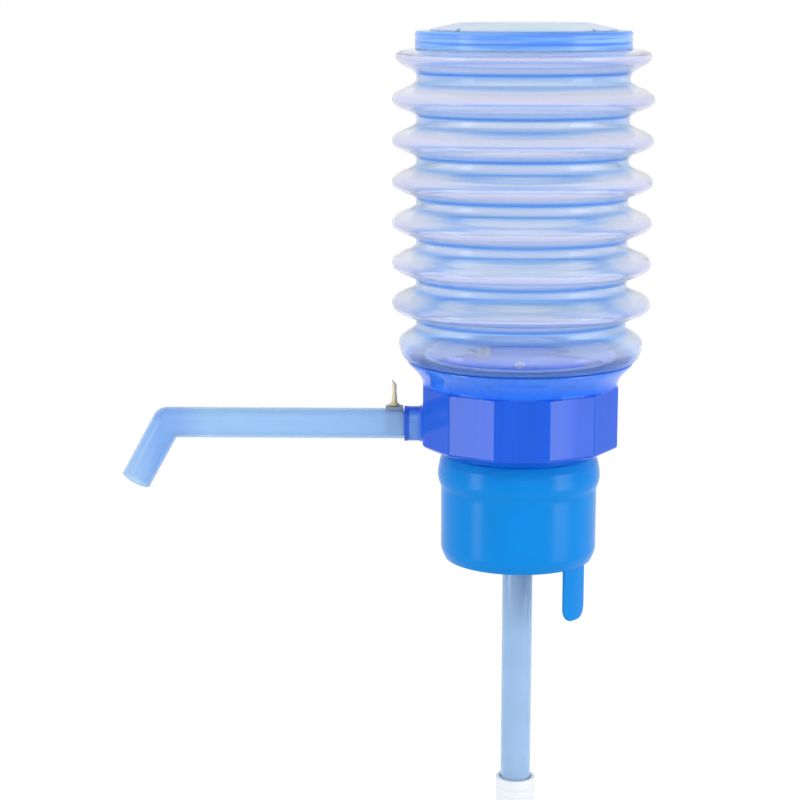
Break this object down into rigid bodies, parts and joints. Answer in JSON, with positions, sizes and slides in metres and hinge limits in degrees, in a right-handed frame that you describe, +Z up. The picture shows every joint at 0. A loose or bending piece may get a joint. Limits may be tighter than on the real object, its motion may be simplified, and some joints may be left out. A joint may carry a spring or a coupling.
{
  "type": "water jug hand pump",
  "caption": "Bellows hand pump with a palm cap, ribbed bellows, faceted base, swivelling side spout, snap collar and dip tube.",
  "frame": {"origin": "on the pump's axis, in the plane where the gasket seals on the rim of the neck", "axes": "+Z up along the axis towards the palm disc, -X towards the spout"},
  "size_m": [0.206, 0.0996, 0.6102],
  "materials": {
    "palm_disc": "satin, slightly translucent",
    "press_cap": "glossy, translucent",
    "bellows": "glossy, translucent film",
    "housing": "glossy, translucent",
    "collar": "satin",
    "spout": "glossy, translucent",
    "inner_plastic": "satin",
    "white_plastic": "satin",
    "seal_rubber": "matte",
    "valve_silicone": "matte",
    "saddle": "satin",
    "pin": "satin",
    "tube": "glossy, translucent",
    "screw_steel": "plain"
  },
  "bodies": {
    "base": {"housing": "housing", "bellows": "bellows", "bellows_clamp_ring": "white_plastic", "valve_plate": "inner_plastic", "plate_screw_1": "screw_steel", "plate_screw_2": "screw_steel", "plate_screw_3": "screw_steel", "riser_tube": "inner_plastic", "riser_nut": "white_plastic", "outlet_nipple": "inner_plastic", "nipple_o_ring": "seal_rubber", "spout_o_ring_inner": "seal_rubber", "spout_o_ring_outer": "seal_rubber", "neck_collar": "collar", "neck_gasket": "seal_rubber", "collar_nut": "white_plastic", "dip_tube_upper": "tube", "dip_tube_middle": "tube", "dip_tube_lower": "tube", "tube_coupler_upper": "white_plastic", "tube_coupler_lower": "white_plastic", "tube_foot": "white_plastic"},
    "cap": {"press_cap": "press_cap", "palm_disc": "palm_disc", "cap_clamp_ring": "white_plastic"},
    "inlet_flap": {"inlet_valve": "valve_silicone"},
    "outlet_flap": {"outlet_valve": "valve_silicone"},
    "spout": {"spout_tube": "spout", "vent_saddle": "saddle"},
    "pin": {"vent_pin": "pin"}
  },
  "joints": [
    {"name": "cap_press", "type": "slide", "parent": "base", "child": "cap", "axis": [0, 0, -1], "range_m": [0, 0.06], "stiffness_N_per_m": 500, "springref_m": -0.006, "deforming": ["bellows"]},
    {"name": "inlet_valve_lift", "type": "slide", "parent": "cap", "child": "inlet_flap", "axis": [0, 0, -1], "range_m": [0, 0.0012], "stiffness_N_per_m": 60},
    {"name": "outlet_valve_lift", "type": "slide", "parent": "base", "child": "outlet_flap", "axis": [0, 0, -1], "range_m": [0, 0.0012], "stiffness_N_per_m": 60},
    {"name": "spout_swivel", "type": "hinge", "parent": "base", "child": "spout", "pos_m": [-0.0453, 0, 0.0137], "axis": [-1, 0, 0], "continuous": true},
    {"name": "vent_pin_lift", "type": "slide", "parent": "spout", "child": "pin", "axis": [0, 0, 1], "range_m": [0, 0.002]}
  ]
}
